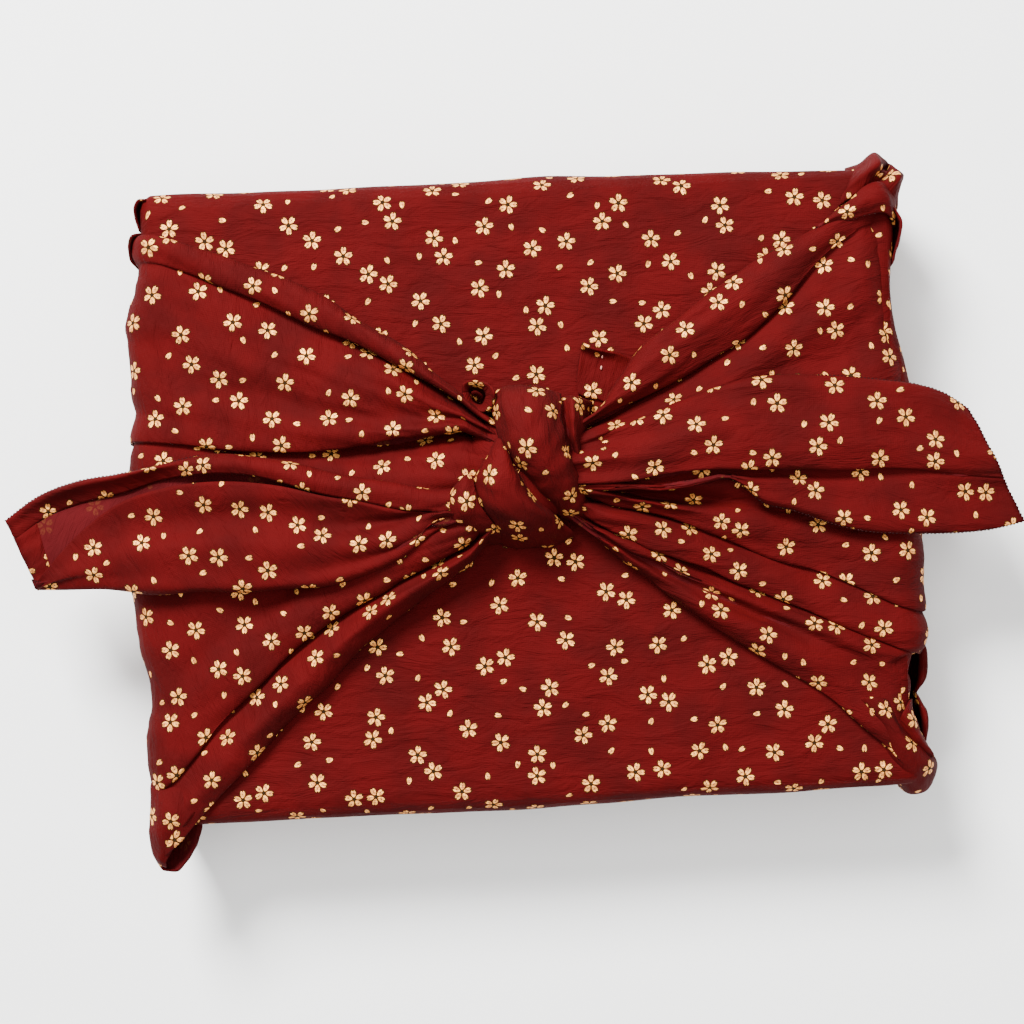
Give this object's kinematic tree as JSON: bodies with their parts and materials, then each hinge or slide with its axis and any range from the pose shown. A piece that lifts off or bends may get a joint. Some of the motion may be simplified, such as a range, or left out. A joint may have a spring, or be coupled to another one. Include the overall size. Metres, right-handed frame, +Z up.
{
  "type": "furoshiki wrapping cloth tied as a parcel",
  "caption": "Square cotton wrapping cloth folded round a flat rectangular parcel, its side corners gathered into pleats and tied in a flat knot on top with free ends out to the sides.",
  "frame": {"origin": "middle of the flat underside of the wrapped parcel, on the surface that it rests on", "axes": "+X along the parcel's length, towards the free end that shows a long fold; +Y across it, away from the near flap towards the far flap; +Z up, out of the side with the knot"},
  "size_m": [0.312, 0.2044, 0.0802],
  "materials": {
    "cotton": "deep red printed cotton, matt with a faint sheen, small pale gold blossoms"
  },
  "bodies": {
    "root": {"furoshiki_cloth": "cotton"}
  },
  "joints": []
}
